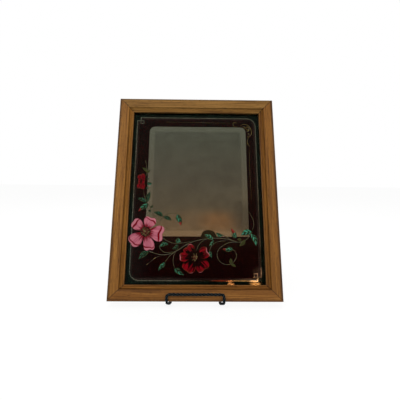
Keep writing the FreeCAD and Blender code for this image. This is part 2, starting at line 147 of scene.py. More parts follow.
# Camera
cameraLook = {
    "lens": 33.325, "place": (-3.11, -606.49, 199.88),
    "pitch": -3.909, "yaw": 0.922, "roll": 0.504,
}
cameraData = bpy.data.cameras.new("camera")
cameraData.lens = cameraLook["lens"]
cameraData.sensor_width = 36.0
camera = addObject("camera", cameraData)
camera.matrix_world = (
    Matrix.Translation(Vector(cameraLook["place"]) * mm)
    @ Matrix.Rotation(math.radians(-cameraLook["yaw"]), 4, "Z")
    @ Matrix.Rotation(math.radians(90 + cameraLook["pitch"]), 4, "X")
    @ Matrix.Rotation(math.radians(cameraLook["roll"]), 4, "Z")
)
bpy.context.scene.camera = camera

# Oak rails: flat sawn red oak, stained and wiped, with a thin satin varnish. Stain stays dark in
# the pores, and the grain runs along each rail. Each rail's tones are painted a little lighter or darker
# as the light falls on it, the top greyer and the right and bottom darker, and its edge stops paint a
# dark line of shade along the outer edge.
oakLook = {
    "frame_rail_left": {
        "light": "#936427", "mid": "#7e521d", "dark": "#5e380f", "seed": 0.31,
        "edge": [(0.0, 0.45), (0.6, 0.50), (3.2, 0.50)],
    },
    "frame_rail_right": {
        "light": "#88591f", "mid": "#724817", "dark": "#52300c", "seed": 1.73,
        "edge": [(0.0, 0.62), (1.2, 0.58), (1.8, 0.40), (3.4, 0.44)],
    },
    "frame_rail_top": {
        "light": "#916932", "mid": "#7e5926", "dark": "#5e3d14", "seed": 3.19,
        "edge": [(0.0, 0.40), (0.7, 0.42), (2.2, 0.44)],
    },
    "frame_rail_bottom": {
        "light": "#8c5d27", "mid": "#744818", "dark": "#54310d", "seed": 4.87,
        "edge": [(0.0, 0.62), (0.8, 0.78), (3.0, 0.85)],
    },
}
oakGrain = {
    "streak": (60.0, 1.6), "pore": (8.0, 1.1), "band": (150.0, 7.5),
    "reach": 24.8, "mitreLine": 0.3, "bump": 0.12, "relief": 0.35,
    "bandShare": 0.38, "poreShare": 0.8, "rough": 0.66, "smooth": 0.48, "shine": 0.18,
}
# How dark the painted shading lies towards the sight edge, in millimetres from the outer edge:
# painted shade in the groove, at the bead's foot and at the sight edge, and a painted highlight on the
# bead. Each rail has its own painted dark line of shade along the outer edge.
oakProfileShading = [
    (4.2, 0.96), (5.4, 1.0), (16.4, 1.0), (17.2, 0.76), (18.4, 0.70), (19.2, 1.02),
    (21.4, 1.08), (22.2, 0.76), (22.9, 1.14), (24.0, 1.02), (24.8, 0.5),
]


def oakFinish(railName, look):
    material, add = startFinish("stainedRedOak_" + railName.split("_")[-1])
    upright = railName.endswith(("left", "right"))
    place = add("SeparateXYZ", [leanedCoordinates(add)])
    fromSide, fromEnd = insetsFrom(add, place, (0, 0), (halfWidth / mm, halfHeight / mm))
    along, fromEdge = (place.outputs["Z"], fromSide) if upright else (place.outputs["X"], fromEnd)
    grain = add("CombineXYZ", {"X": along, "Y": fromEdge, "Z": place.outputs["Y"]})

    def grainNoise(size, shift, detail):
        scaled = add("Mapping", {
            "Vector": grain,
            "Scale": (1 / (size[0] * mm), 1 / (size[1] * mm), 1 / (size[1] * mm)),
            "Location": (look["seed"] + shift, look["seed"] * shift, shift),
        })
        return add("TexNoise", {"Vector": scaled, "Scale": 1.0, "Detail": detail})

    streaks = grainNoise(oakGrain["streak"], 2.0, 4.0)
    bands = grainNoise(oakGrain["band"], 5.0, 2.0)
    poreNoise = grainNoise(oakGrain["pore"], 9.0, 2.0)
    pores = add("ValToRGB", [poreNoise], stops=[(0.30, 0.42), (0.44, 1.0)])
    figure = add("Mix", {0: oakGrain["bandShare"], 2: streaks, 3: bands})
    wood = add("ValToRGB", [figure], stops=[
        (0.38, look["dark"]), (0.46, look["mid"]), (0.52, look["mid"]), (0.61, look["light"]),
    ])
    width = add("Math", [fromEdge, oakGrain["reach"] * mm], operation="DIVIDE")
    # Painted shade along the outer edge, in the groove and at the sight edge, and a painted highlight on the
    # bead
    profileShading = add("ValToRGB", [width], stops=[
        (distance / oakGrain["reach"], shade) for distance, shade in look["edge"] + oakProfileShading
    ])
    offMitre = add("Math", [fromSide, fromEnd], operation="SUBTRACT")
    mitreSize = add("Math", [offMitre], operation="ABSOLUTE")
    lineReach = oakGrain["mitreLine"] * mm * math.sqrt(2)
    mitre = add("MapRange", [mitreSize, lineReach, 2 * lineReach, 0.25, 1.0])
    for share, layer in ((1.0, profileShading), (oakGrain["poreShare"], pores), (1.0, mitre)):
        wood = add("Mix", {0: share, 6: wood, 7: layer}, data_type="RGBA", blend_type="MULTIPLY")
    relief = add("Math", [pores, streaks], operation="ADD")
    bump = add("Bump", {
        "Height": relief, "Strength": oakGrain["relief"], "Distance": oakGrain["bump"] * mm,
    })
    gloss = add("MapRange", [streaks, 0.0, 1.0, oakGrain["rough"], oakGrain["smooth"]])
    endFinish(add, {
        "Base Color": wood, "Roughness": gloss, "Normal": bump, "Specular IOR Level": oakGrain["shine"],
    })
    return material


for railName, look in oakLook.items():
    dress(oakFinish(railName, look), railName)
print("oak rails")

# Float glass: clear, polished, 3 mm. Lamps and soft light pass straight through to the print. What
# it reflects is left to the print and the silvering, which are bonded to its back and show its polish.
material, add = startFinish("clearFloatGlass")
path = add("LightPath")
clear = add("BsdfTransparent")
glass = add("BsdfPrincipled", {
    "Base Color": "#fafcfa", "Roughness": 0.0, "IOR": 1.5, "Transmission Weight": 1.0,
    "Specular Tint": (0, 0, 0, 1),
})
softened = add("MixShader", [path.outputs["Is Diffuse Ray"], glass, clear])
add("OutputMaterial", [add("MixShader", [path.outputs["Is Shadow Ray"], softened, clear])])
dress(material, "mirror_glass")

# Silvering: an old silver film with dust and faint smudges, a little greener near its edges
silverLook = {
    "clean": "#e3e1d9", "smudge": "#d1cfc7", "speck": "#fbfaf4", "edge": "#fdfcf1",
    "smudgeSize": 20.0, "speckSize": 3.0, "edgeBand": 9.0,
    "middle": (2.4, 25.45), "half": (82.9, 96.35),
}
material, add = startFinish("agedSilvering")
place = leanedCoordinates(add)
smudges = add("TexNoise", {
    "Vector": place, "Scale": 1 / (silverLook["smudgeSize"] * mm), "Detail": 6.0, "Roughness": 0.66,
    "Distortion": 0.6,
})
smudgeTone = add("ValToRGB", [smudges], stops=[(0.40, silverLook["smudge"]), (0.60, silverLook["clean"])])
dust = add("TexVoronoi", {"Vector": place, "Scale": 1 / (silverLook["speckSize"] * 4 * mm)})
speckMask = add("MapRange", [dust.outputs["Distance"], 0.04, 0.09, 0.6, 0.0])
specked = add("Mix", {0: speckMask, 6: smudgeTone, 7: silverLook["speck"]}, data_type="RGBA")
insets = insetsFrom(add, add("SeparateXYZ", [place]), silverLook["middle"], silverLook["half"])
nearest = add("Math", insets, operation="MINIMUM")
bandEnds = [(silverLook["edgeBand"] + soft) * mm for soft in (-1.5, 1.5)]
edgeMask = add("MapRange", [nearest, *bandEnds, 0.75, 0.0])
banded = add("Mix", {0: edgeMask, 6: specked, 7: silverLook["edge"]}, data_type="RGBA")
haze = add("MapRange", [smudges, 0.0, 1.0, 0.09, 0.02])
endFinish(add, {"Base Color": banded, "Metallic": 1.0, "Roughness": haze})
dress(material, "silvering")

# Inks on the back of the glass are seen through its polished front, so all have its smooth gloss
polished = {"Specular IOR Level": 0.5, "Roughness": 0.02, "IOR": 1.5}


def filmFinish(name, thick, thin, size, detail=3.0, ends=(0.35, 0.70), gloss=polished):
    # A film on the back of the glass: dense and even, with a soft cloud of thin places
    material, add = startFinish(name)
    place = leanedCoordinates(add)
    cloud = add("TexNoise", {"Vector": place, "Scale": 1 / (size * mm), "Detail": detail})
    film = add("ValToRGB", [cloud], stops=[(ends[0], thick), (ends[1], thin)])
    endFinish(add, {"Base Color": film, **gloss})
    return material


# Opaque line ink is brushier than the screen printed grounds
lineInk = functools.partial(filmFinish, detail=2.0, ends=(0.36, 0.64))
dress(filmFinish("greenScreenInk", "#020a05", "#06110a", 26.0), "green_border_print")
dress(filmFinish("maroonScreenInk", "#0f0102", "#140302", 30.0), "maroon_field_print")
print("glass, silvering and inks")

# Fixings and backing: what each is made of, where it goes, and the size of its fibres or wear
fibreLook = {
    "pressedHardboard": {
        "node": "hardboard_back", "light": "#7a5a3c", "dark": "#573c26", "fibre": 1.4,
        "roughness": 0.62, "sheen": 0.0, "bump": 0.08,
    },
    "greyBackingCard": {
        "node": "backing_card", "light": "#a39d90", "dark": "#8b8578", "fibre": 0.9,
        "roughness": 0.85, "sheen": 0.0, "bump": 0.05,
    },
    "woolFelt": {
        "node": "bumper_pads", "light": "#4c4f4a", "dark": "#2e302d", "fibre": 0.5,
        "roughness": 0.95, "sheen": 0.5, "bump": 0.25,
    },
}
platingLook = {
    "zincPlatedSteel": {
        "bright": "#b9babb", "dull": "#8d8f92", "smooth": 0.30, "rough": 0.48, "wear": 2.2,
        "nodes": ("corner_nails", "glazier_points", "hanger_screws"),
    },
    "brushedNickel": {
        "bright": "#c6c0b4", "dull": "#9c968a", "smooth": 0.20, "rough": 0.38, "wear": 1.6,
        "nodes": ("hanger_strap_left", "hanger_strap_right", "hanger_ring_left", "hanger_ring_right"),
    },
}


def fibreFinish(name, look):
    # Pressed fibre: a fine mottle of light and dark strands
    material, add = startFinish(name)
    place = leanedCoordinates(add)
    scaled = add("Mapping", {"Vector": place, "Scale": (1.0, 1.0, 0.45)})
    strands = add("TexNoise", {
        "Vector": scaled, "Scale": 1 / (look["fibre"] * mm), "Detail": 4.0, "Distortion": 1.2,
    })
    blotches = add("TexNoise", {"Vector": place, "Scale": 1 / (28 * mm), "Detail": 2.0})
    mixed = add("Mix", {0: 0.35, 2: strands, 3: blotches})
    tone = add("ValToRGB", [mixed], stops=[(0.36, look["dark"]), (0.62, look["light"])])
    bump = add("Bump", {"Height": strands, "Strength": 0.5, "Distance": look["bump"] * mm})
    endFinish(add, {
        "Base Color": tone, "Roughness": look["roughness"], "Normal": bump, "Sheen Weight": look["sheen"],
    })
    return material


def platingFinish(name, look):
    # Plated steel: bright, with faint cloudy wear in its plating
    material, add = startFinish(name)
    source = add("TexCoord").outputs["Object"]
    wear = add("TexNoise", {"Vector": source, "Scale": 1 / (look["wear"] * mm), "Detail": 4.0})
    tone = add("ValToRGB", [wear], stops=[(0.36, look["dull"]), (0.60, look["bright"])])
    gloss = add("MapRange", [wear, 0.0, 1.0, look["rough"], look["smooth"]])
    bump = add("Bump", {"Height": wear, "Strength": 0.2, "Distance": 0.05 * mm})
    endFinish(add, {"Base Color": tone, "Metallic": 1.0, "Roughness": gloss, "Normal": bump})
    return material


for name, look in fibreLook.items():
    dress(fibreFinish(name, look), look["node"])
for name, look in platingLook.items():
    dress(platingFinish(name, look), *look["nodes"])

# Black enamel on steel bar: a thick satin coat with slight orange peel. A bluish painted highlight
# lies along the bar's ridges, which are glossier, and the duller gloss in the hollows stands in for their
# shade
enamelLook = {
    "coat": "#020405", "worn": "#060a0b", "ridge": "#2b4048", "peel": 1.8, "dull": 0.03, "ridgeHighlight": 0.22,
}
blackEnamel, add = startFinish("satinBlackEnamel")
share = add("Attribute", attribute_name="ridge").outputs["Fac"]
ridge = add("MapRange", [share, 0.55, 0.82])
source = add("TexCoord").outputs["Object"]
peel = add("TexNoise", {"Vector": source, "Scale": 1 / (enamelLook["peel"] * mm), "Detail": 3.0})
tone = add("ValToRGB", [peel], stops=[(0.35, enamelLook["coat"]), (0.72, enamelLook["worn"])])
# Painted highlight: the ridges are tinted a lighter bluish black
ridgeHighlight = add("Mix", {0: ridge, 6: tone, 7: enamelLook["ridge"]}, data_type="RGBA")
gloss = add("MapRange", [peel, 0.0, 1.0, 0.50, 0.36])
# Less gloss in the hollows stands in for their shade, more on the ridges for their highlight
shine = add("MapRange", [ridge, 0.0, 1.0, enamelLook["dull"], enamelLook["ridgeHighlight"]])
bump = add("Bump", {"Height": peel, "Strength": 0.3, "Distance": 0.08 * mm})
endFinish(add, {
    "Base Color": ridgeHighlight, "Roughness": gloss, "Normal": bump, "Specular IOR Level": shine,
})
dress(blackEnamel, "easel_crossbar", "leg_sleeve", "leg_stop_bar")
print("fixings, backing and enamel")


# Routes and geometry trees
def roundedRoute(points, radii, step):
    # Points along straight runs and the arcs that round their corners
    route = []
    for index, (corner, radius) in enumerate(zip(points, radii)):
        if radius == 0:
            route.append(corner)
            continue
        before = (points[index - 1] - corner).normalized()
        after = (points[(index + 1) % len(points)] - corner).normalized()
        half = before.angle(after) / 2
        inward = (before + after).normalized()
        centre = corner + inward * (radius / math.sin(half))
        start = corner + before * (radius / math.tan(half)) - centre
        turn = math.pi - 2 * half
        axis = start.cross(corner + after * (radius / math.tan(half)) - centre).normalized()
        pieces = max(3, math.ceil(radius * turn / step))
        for piece in range(pieces + 1):
            route.append(centre + Matrix.Rotation(turn * piece / pieces, 3, axis) @ start)
    return route


def pathLength(points, closed):
    steps = [(second - first).length for first, second in zip(points, points[1:])]
    return sum(steps) + ((points[0] - points[-1]).length if closed else 0)


def pathHost(name, paths, closed, widths=None):
    # A mesh of bare edges that a tree turns into curves, with each path's width at its points
    vertices, edges, sizes = [], [], []
    for index, points in enumerate(paths):
        first = len(vertices)
        vertices += [tuple(point) for point in points]
        edges += [(first + step, first + step + 1) for step in range(len(points) - 1)]
        if closed:
            edges.append((first + len(points) - 1, first))
        sizes += list(widths[index]) if widths else [1.0] * len(points)
    data = bpy.data.meshes.new(name)
    data.from_pydata(vertices, edges, [])
    data.attributes.new("width", "FLOAT", "POINT").data.foreach_set("value", sizes)
    return addObject(name, data)


def newTree(name, sizes):
    # A geometry tree with a geometry in and out, and a named input for each size and for its finish
    tree = bpy.data.node_groups.new(name, "GeometryNodeTree")
    tree.interface.new_socket("Geometry", in_out="INPUT", socket_type="NodeSocketGeometry")
    for label, kind in {**sizes, "Finish": "NodeSocketMaterial"}.items():
        tree.interface.new_socket(label, in_out="INPUT", socket_type=kind)
    tree.interface.new_socket("Geometry", in_out="OUTPUT", socket_type="NodeSocketGeometry")
    add = functools.partial(addNode, tree, "GeometryNode")
    return tree, add, add("NodeGroupInput").outputs


def endTree(add, result, given):
    # Every tree ends in plain mesh with its finish on
    real = add("RealizeInstances", [result])
    finished = add("SetMaterial", {"Geometry": real, "Material": given["Finish"]})
    add("NodeGroupOutput", [finished])


def runTree(host, tree, values):
    # Sets the tree's inputs, and leaves its result as a plain mesh
    modifier = host.modifiers.new(tree.name, "NODES")
    modifier.node_group = tree
    for item in tree.interface.items_tree:
        if item.in_out == "INPUT" and item.name in values:
            modifier[item.identifier] = values[item.name]
    bpy.context.view_layer.update()
    graph = bpy.context.evaluated_depsgraph_get()
    data = bpy.data.meshes.new_from_object(host.evaluated_get(graph))
    host.modifiers.remove(modifier)
    host.data = data
    return host


def settle(piece, place, body, replaced=()):
    # Puts a finished mesh in its place and gives it to a body
    piece.data.transform(place)
    piece.data.update()
    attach(piece, body)
    if replaced:
        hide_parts(*replaced)


# Twisted square bar: a square section with eased corners and hollow sides, turned steadily along its
# path. Each ridge is marked, so that the enamel can paint a highlight along it.
number, whole = "NodeSocketFloat", "NodeSocketInt"
twistTree, add, given = newTree("twistedBar", {
    "Ridge": number, "Hollow": number, "Corner": number, "Turns": number, "Rings": whole,
})
spine = add("MeshToCurve", [given["Geometry"]])
evenSpine = add("ResampleCurve", {"Curve": spine, "Count": given["Rings"]})
alongBar = add("SplineParameter")
turned = add("ShaderNodeMath", [alongBar.outputs["Factor"], given["Turns"]], operation="MULTIPLY")
radians = add("ShaderNodeMath", [turned, math.tau], operation="MULTIPLY")
tilted = add("SetCurveTilt", {"Curve": evenSpine, "Tilt": radians})
section = add("CurveStar", {"Points": 4, "Inner Radius": given["Hollow"], "Outer Radius": given["Ridge"]})
eased = add("FilletCurve", {
    "Curve": section.outputs["Curve"], "Count": 2, "Radius": given["Corner"],
}, mode="POLY")
fromSpine = add("ShaderNodeVectorMath", [add("InputPosition")], operation="LENGTH")
ridgeShare = add("ShaderNodeMapRange", [fromSpine.outputs["Value"], given["Hollow"], given["Ridge"]])
marked = add("StoreNamedAttribute", {
    "Geometry": eased, "Name": "ridge", "Value": ridgeShare,
}, data_type="FLOAT", domain="POINT")
swept = add("CurveToMesh", {"Curve": tilted, "Profile Curve": marked, "Fill Caps": True})
endTree(add, add("SetShadeSmooth", [swept]), given)

easelBar = {
    "ridge": 2.4, "hollow": 1.3, "corner": 0.22, "lay": 22.6, "ring": 0.85, "bend": 3.8, "arcStep": 0.9,
    "lipHalf": 43.0, "heelHalf": 38.5, "lipHeight": 10.0, "lipDepth": 20.2, "backDepth": -2.7,
    "heelHeight": -2.7, "archTop": 190.0, "archRadius": 12.0,
}
rearLeg = {"topHalf": 7.0, "footHalf": 20.0, "reach": 51.63, "footHeight": 2.0, "clearOfPivot": 2.9}


def twistedPiece(name, points, closed):
    length = pathLength(points, closed)
    host = pathHost(name, [points], closed)
    return runTree(host, twistTree, {
        "Ridge": easelBar["ridge"], "Hollow": easelBar["hollow"], "Corner": easelBar["corner"],
        "Turns": float(round(length / easelBar["lay"])),
        "Rings": round(length / easelBar["ring"]), "Finish": blackEnamel,
    })


def aboveTable(piece):
    # The heels and the foot are ground flat where they stand
    for vertex in piece.data.vertices:
        vertex.co.z = max(vertex.co.z, 0.0)


bottomEdge = -halfHeight / mm
archCentre = easelBar["archTop"] - easelBar["archRadius"]
rise = archCentre - easelBar["heelHeight"]
toCentre = math.hypot(easelBar["heelHalf"], rise)
slope = math.atan2(easelBar["heelHalf"], rise) - math.asin(easelBar["archRadius"] / toCentre)
apex = easelBar["heelHeight"] + easelBar["heelHalf"] / math.tan(slope)


def easelSpot(across, depth, height):
    return Vector((across, -depth, bottomEdge + height))


rightSide = [
    easelSpot(easelBar["heelHalf"], easelBar["backDepth"], easelBar["heelHeight"]),
    easelSpot(easelBar["lipHalf"], easelBar["lipDepth"], easelBar["heelHeight"]),
    easelSpot(easelBar["lipHalf"], easelBar["lipDepth"], easelBar["lipHeight"]),
]
leftSide = [Vector((-point.x, point.y, point.z)) for point in reversed(rightSide)]
loop = [easelSpot(0, easelBar["backDepth"], apex)] + rightSide + leftSide
loopRoute = roundedRoute(loop, [easelBar["archRadius"]] + [easelBar["bend"]] * 6, easelBar["arcStep"])
easelLoop = twistedPiece("easelBar", loopRoute, True)
settle(easelLoop, leanPlace, "easel", ["easel_back", "easel_ledge"])
aboveTable(easelLoop)

pivot = Vector(joints["leg_fold"]["pos_m"]) / mm
foot = Vector((0, pivot.y + rearLeg["reach"], rearLeg["footHeight"]))
cornerRight = foot + Vector((rearLeg["footHalf"], 0, 0))
topRight = pivot + Vector((rearLeg["topHalf"], 0, 0))
topRight += (cornerRight - topRight).normalized() * rearLeg["clearOfPivot"]
legPoints = [topRight, cornerRight, cornerRight - Vector((2 * rearLeg["footHalf"], 0, 0))]
legPoints.append(Vector((-topRight.x, topRight.y, topRight.z)))
legRoute = roundedRoute(legPoints, [0, easelBar["bend"], easelBar["bend"], 0], easelBar["arcStep"])
legLoop = twistedPiece("rearLegBar", legRoute, False)
settle(legLoop, tablePlace, "rear_leg", ["easel_leg"])
aboveTable(legLoop)
print("easel bar and rear leg")

# Print layers: how far each lies from the frame's back, between the field and the glass
layerDepth = {
    "shadowLine": 6.24, "silverLine": 6.29, "backLeaf": 6.31, "stem": 6.33, "leaf": 6.36, "bud": 6.39,
    "petal": 6.41, "heart": 6.46, "stamen": 6.475, "gold": 6.33,
}
inkThickness = 0.012
# How many steps a flat shape has along it or round it, and from its middle to its side
inkGrid = {"bladeSteps": 12, "bladeSide": 3, "petalSteps": 18, "petalSide": 9, "discSteps": 32}


def gridPiece(name, sheets, material):
    # Flat sheets of rows of points, each with its UV, its tint and its seed
    vertices, faces, uvs, marks = [], [], [], {"tint": [], "seed": []}
    for sheet in sheets:
        rows, first = sheet["rows"], len(vertices)
        across = len(rows[0])
        for rowIndex, row in enumerate(rows):
            for columnIndex, point in enumerate(row):
                vertices.append((point[0], point[1], sheet["depth"]))
                uvs.append((columnIndex / (across - 1), rowIndex / (len(rows) - 1)))
        spans = len(rows) if sheet.get("closed") else len(rows) - 1
        for rowIndex in range(spans):
            near, far = first + rowIndex * across, first + (rowIndex + 1) % len(rows) * across
            for column in range(across - 1):
                faces.append((near + column, near + column + 1, far + column + 1, far + column))
        for mark, values in marks.items():
            values += [sheet.get(mark, 0.0)] * (len(vertices) - first)
    data = bpy.data.meshes.new(name)
    data.from_pydata(vertices, [], faces)
    for mark, values in marks.items():
        data.attributes.new(mark, "FLOAT", "POINT").data.foreach_set("value", values)
    layer = data.uv_layers.new(name="UVMap")
    for loopIndex, corner in enumerate(data.loops):
        layer.data[loopIndex].uv = uvs[corner.vertex_index]
    data.materials.append(material)
    joined = bmesh.new()
    joined.from_mesh(data)
    bmesh.ops.remove_doubles(joined, verts=joined.verts, dist=0.0001)
    joined.to_mesh(data)
    joined.free()
    piece = addObject(name, data)
    wall = piece.modifiers.new("ink", "SOLIDIFY")
    wall.thickness = inkThickness * mm
    wall.offset = 0.0
    return piece


def printSheets(name, sheets, material, replaced=()):
    settle(gridPiece(name, sheets, material), printPlace, "mirror", replaced)


def ribbonRows(points, width):
    # Both edges of a closed line of even width, mitred at its corners
    rows = []
    for index, point in enumerate(points):
        before, after = points[index - 1], points[(index + 1) % len(points)]
        runs = [run.normalized() for run in (point - before, after - point) if run.length > 0]
        sides = [Vector((run.y, -run.x, 0)) for run in runs]
        aside = sum(sides, Vector()).normalized()
        aside *= width / 2 / max(aside.dot(sides[0]), 0.3)
        rows.append([point - aside, point + aside])
    return rows


# The silver line is a bare strip of mirror, with a dim brown strip of painted shadow beside it
lineLook = {
    "half": (102.6, 139.6), "width": 1.5, "keyWidth": 1.15, "corner": 15.0, "keyInset": 6.0, "keySize": 5.2,
    "printLift": -0.7, "shadowInset": 2.4, "shadowWidth": 2.6, "arcStep": 0.8,
}
silverFilm = filmFinish("silverLineFilm", "#a9a79f", "#d9d6cc", 6.0, ends=(0.30, 0.60), gloss={
    "Metallic": 1.0, "Roughness": 0.05,
})
shadowInk = filmFinish("lineShadowFilm", "#1a100e", "#281b18", 14.0)


def lineOutline(inset):
    right, top = (half - inset for half in lineLook["half"])
    innerRight, innerTop = right - lineLook["keyInset"], top - lineLook["keyInset"]
    corners = [
        (-right, -top), (innerRight, -top), (innerRight, -innerTop), (right, -innerTop),
        (right, top), (-innerRight, top), (-innerRight, innerTop), (-right, innerTop),
    ]
    points = [Vector((across, up + lineLook["printLift"], 0)) for across, up in corners]
    radius = lineLook["corner"] - inset
    radii = [radius, 0, 0, 0, radius, 0, 0, 0]
    return roundedRoute(points, radii, lineLook["arcStep"])


def keyLoop(sign):
    near = [half - lineLook["keyInset"] for half in lineLook["half"]]
    far = [reach - lineLook["keySize"] for reach in near]
    corners = [(near[0], -near[1]), (near[0], -far[1]), (far[0], -far[1]), (far[0], -near[1])]
    return [Vector((sign * x, sign * y + lineLook["printLift"], 0)) for x, y in corners]


printSheets("silverLine", [{
    "rows": ribbonRows(route, width), "closed": True, "depth": layerDepth["silverLine"] + lift,
} for route, width, lift in (
    (lineOutline(0), lineLook["width"], 0.0),
    (keyLoop(1), lineLook["keyWidth"], 0.02),
    (keyLoop(-1), lineLook["keyWidth"], 0.02),
)], silverFilm, ["silver_line"])
printSheets("silverLineShade", [{
    "rows": ribbonRows(lineOutline(lineLook["shadowInset"]), lineLook["shadowWidth"]),
    "closed": True, "depth": layerDepth["shadowLine"],
}], shadowInk)
print("silver line")

# Stems and scrolls: opaque printed lines, laid down by one tree that follows their routes
strokeTree, add, given = newTree("printedLine", {"Resolution": whole, "Film": number})
drawn = add("MeshToCurve", [given["Geometry"]])
flowing = add("CurveSplineType", [drawn], spline_type="CATMULL_ROM")
fine = add("SetSplineResolution", {0: flowing, "Resolution": given["Resolution"]})
flat = add("SetCurveNormal", [fine], mode="Z_UP")
nib = add("CurvePrimitiveQuadrilateral", {"Width": 1.0, "Height": given["Film"]})
strokeWidth = add("InputNamedAttribute", {"Name": "width"})
endTree(add, add("CurveToMesh", {
    "Curve": flat, "Profile Curve": nib, "Scale": strokeWidth, "Fill Caps": True,
}), given)

# Each stroke: its width, then its points across and up from the middle of the frame
stems = [
    (1.05, (-74.2, -94.3), (-63.8, -98.5), (-51.2, -100.3), (-39.5, -98.5), (-28.6, -93.1), (-14.7, -84.2),
     (-1.1, -78.3), (13.7, -75.0), (31.4, -73.3), (49.2, -74.8), (68.7, -80.2)),
    (1.05, (68.7, -80.2), (78.6, -77.0), (86.0, -70.5), (90.3, -62.4)),
    (0.9, (-56.8, -72.2), (-52.0, -74.6), (-43.9, -78.9), (-36.0, -81.7), (-21.7, -81.6), (-9.0, -79.3)),
    (0.8, (-54.1, -82.6), (-57.0, -86.6), (-55.2, -92.2), (-47.9, -96.8), (-35.6, -95.8)),
    (0.8, (-34.0, -96.8), (-42.5, -103.9), (-47.7, -111.7)),
    (0.8, (-30.9, -95.2), (-34.5, -102.3), (-35.3, -111.6), (-32.6, -120.9)),
    (0.8, (17.9, -74.5), (12.0, -77.5), (7.0, -81.9), (3.4, -87.5), (1.6, -93.6)),
    (0.8, (48.2, -77.4), (33.9, -79.7), (25.1, -86.2), (22.4, -93.3), (23.1, -98.0)),
    (0.9, (68.7, -80.2), (59.4, -79.6), (50.9, -81.2), (38.4, -89.3), (33.8, -99.9), (38.1, -110.3),
     (48.6, -115.4), (59.1, -111.9), (64.6, -101.4), (61.3, -93.3), (55.2, -89.8)),
    (0.8, (44.0, -69.0), (50.0, -72.0), (56.5, -76.0), (68.7, -80.2)),
    (0.4, (-40.3, -99.2), (-56.5, -102.4), (-65.1, -106.8), (-75.6, -115.5)),
    (0.8, (90.8, -60.1), (93.9, -51.1), (92.6, -42.6), (89.9, -36.2), (85.9, -28.8)),
    (0.8, (-75.7, -38.0), (-73.4, -28.0), (-74.8, -21.3), (-79.2, -16.7), (-84.2, -6.1), (-86.9, 6.0)),
    (1.0, (-84.3, 30.5), (-81.8, 36.5), (-83.4, 47.4), (-85.5, 57.3)),
    (1.0, (-58.3, -46.5), (-55.4, -42.0), (-52.1, -38.8), (-44.2, -33.5), (-33.4, -33.0), (-27.9, -37.0)),
]
goldStrokes = [
    (0.42, (70.4, 129.8), (66.6, 131.5), (64.0, 129.8), (64.4, 125.8), (67.8, 122.1), (71.4, 123.4)),
    (0.55, (76.8, 124.2), (79.4, 127.0), (83.6, 127.9), (88.1, 127.0), (92.2, 123.8), (95.1, 116.8),
     (95.5, 110.6), (93.9, 106.7), (90.0, 103.9), (88.1, 105.4)),
    (0.55, (84.2, 118.9), (87.2, 122.7), (90.3, 122.7), (92.0, 119.5), (90.6, 115.5), (87.5, 114.6)),
    (0.42, (90.0, 102.5), (89.1, 99.3), (87.7, 95.2), (89.3, 89.8), (92.2, 86.2)),
    (0.42, (80.2, 122.4), (82.7, 123.8), (84.4, 121.9), (82.4, 120.3), (80.6, 121.6)),
    (0.42, (86.6, 117.8), (89.1, 118.9), (90.6, 116.8), (89.0, 114.8), (87.2, 116.0)),
    (0.4, (88.6, 109.6), (90.6, 110.4), (91.6, 108.6), (90.2, 107.2)),
    (0.14, (-53.1, 131.0), (6.2, 130.2), (58.7, 130.2)),
    (0.16, (90.6, 79.3), (90.4, 33.9), (91.5, -9.8)),
    (0.9, (-62.6, -104.6), (-65.8, -107.2)),
    (0.9, (-74.0, -114.0), (-76.6, -116.4)),
    (0.8, (-84.9, 55.0), (-85.7, 58.4)),
]
# A stroke's width at its ends, and how much it swells in its middle
nibLook = {"ends": 0.75, "swell": 0.45, "resolution": 8}


def strokePiece(name, strokes, depth, finish, replaced=()):
    paths, widths = [], []
    for size, *points in strokes:
        paths.append([Vector((across, up, depth)) for across, up in points])
        shares = [step / (len(points) - 1) for step in range(len(points))]
        swells = [nibLook["swell"] * math.sin(math.pi * share) ** 0.5 for share in shares]
        widths.append([size * (nibLook["ends"] + swell) for swell in swells])
    host = pathHost(name, paths, False, widths)
    runTree(host, strokeTree, {
        "Resolution": nibLook["resolution"], "Film": inkThickness, "Finish": finish,
    })
    settle(host, printPlace, "mirror", replaced)


strokePiece("printedStems", stems, layerDepth["stem"], lineInk(
    "oliveLineInk", "#2b2812", "#3e3a1e", 5.0), ["leaf_print"])
strokePiece("goldScroll", goldStrokes, layerDepth["gold"], lineInk(
    "goldLineInk", "#584a22", "#746432", 4.0))
print("stems and scroll")


# Leaves, buds and petals
def bladePlace(add):
    # Where a point lies along its blade, across it from -1 to 1 and off its middle, and its marks
    where = add("SeparateXYZ", [add("TexCoord").outputs["UV"]])
    centred = add("MapRange", [where.outputs["X"], 0.0, 1.0, -1.0, 1.0])
    aside = add("Math", [centred], operation="ABSOLUTE")
    seed, tint = (add("Attribute", attribute_name=mark).outputs["Fac"] for mark in ("seed", "tint"))
    return where.outputs["Y"], centred, aside, seed, tint


def paintBlade(add, ground, layers):
    # Lays each paint over the ground through its mask, under the glass's polish
    for mask, paint in layers:
        ground = add("Mix", {0: mask, 6: ground, 7: paint}, data_type="RGBA")
    endFinish(add, {"Base Color": ground, **polished})


def bladeRows(base, tip, width, bend, fullness):
    # A pointed blade about a bowed midrib
    base, tip = Vector((*base, 0)), Vector((*tip, 0))
    run = tip - base
    aside = Vector((run.y, -run.x, 0)).normalized()
    rows = []
    for step in range(inkGrid["bladeSteps"] + 1):
        share = step / inkGrid["bladeSteps"]
        middle = base + run * share + aside * (bend * run.length * math.sin(math.pi * share))
        half = width / 2 * (math.sin(math.pi * share ** fullness) + 0.04)
        sides = [column / inkGrid["bladeSide"] - 1 for column in range(2 * inkGrid["bladeSide"] + 1)]
        rows.append([middle + aside * (half * side) for side in sides])
    return rows


